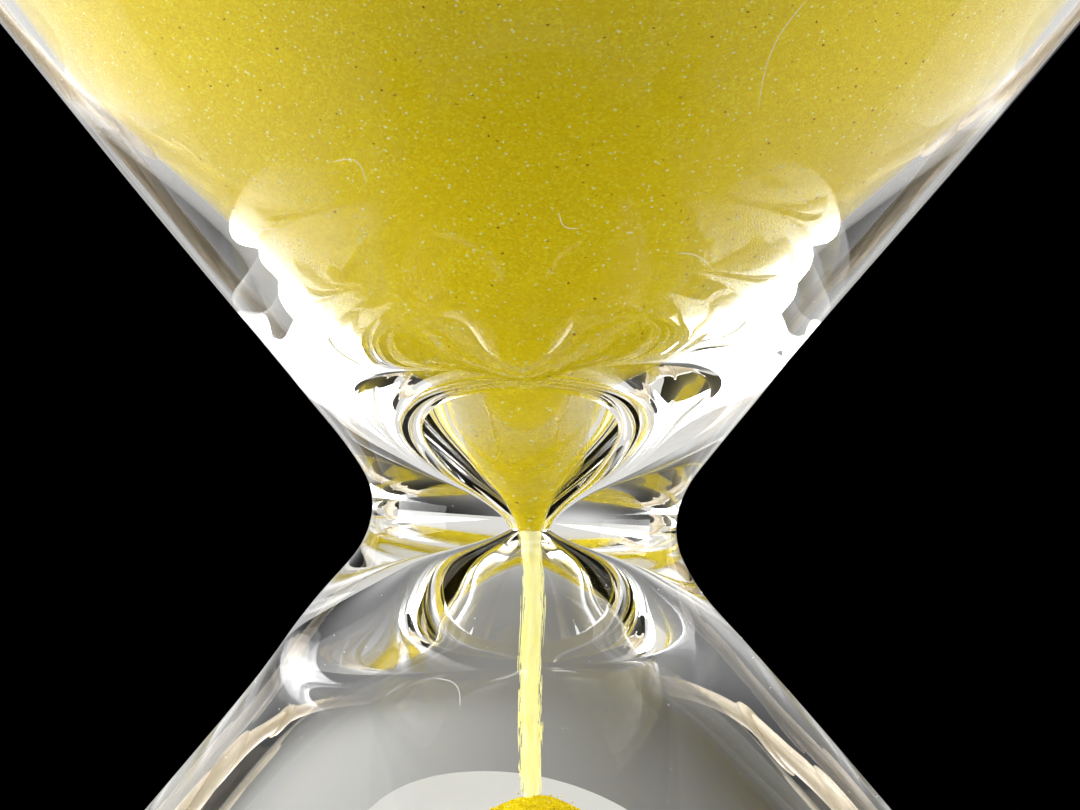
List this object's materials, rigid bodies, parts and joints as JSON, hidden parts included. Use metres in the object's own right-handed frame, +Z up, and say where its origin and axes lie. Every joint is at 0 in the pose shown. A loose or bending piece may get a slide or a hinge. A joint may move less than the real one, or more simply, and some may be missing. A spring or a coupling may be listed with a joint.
{
  "type": "hourglass",
  "caption": "Sand-filled glass double bulb with a drawn neck, held between round moulded wooden plates by turned posts, with felt resting faces.",
  "frame": {"origin": "centre of the lower felt pad's resting face", "axes": "+Z up along the glass's axis, -Y towards the front, +X to the right as seen from the front"},
  "size_m": [0.096, 0.096, 0.1631],
  "materials": {
    "clear_glass": "polished",
    "sand": "matte",
    "falling_sand": "matte",
    "walnut_plate": "satin",
    "maple_post": "satin",
    "felt_pad": "matte",
    "felt_ring": "matte",
    "brass_screw": "satin",
    "plug_rubber": "matte"
  },
  "bodies": {
    "frame": {"base_felt_pad": "felt_pad", "base_plate": "walnut_plate", "base_seat_ring": "felt_ring", "base_post_screws": "brass_screw", "post_front_left": "maple_post", "post_front_right": "maple_post", "post_back_left": "maple_post", "post_back_right": "maple_post", "top_post_screws": "brass_screw", "top_seat_ring": "felt_ring", "top_plate": "walnut_plate", "top_felt_pad": "felt_pad"},
    "glass": {"glass_bulbs": "clear_glass", "sand_lower": "sand", "sand_stream": "falling_sand", "sand_upper": "sand", "filler_plug": "plug_rubber"}
  },
  "joints": [
    {"name": "glass_turn", "type": "hinge", "parent": "frame", "child": "glass", "pos_m": [0, 0, 0.08153], "axis": [0, 0, 1], "continuous": true}
  ]
}
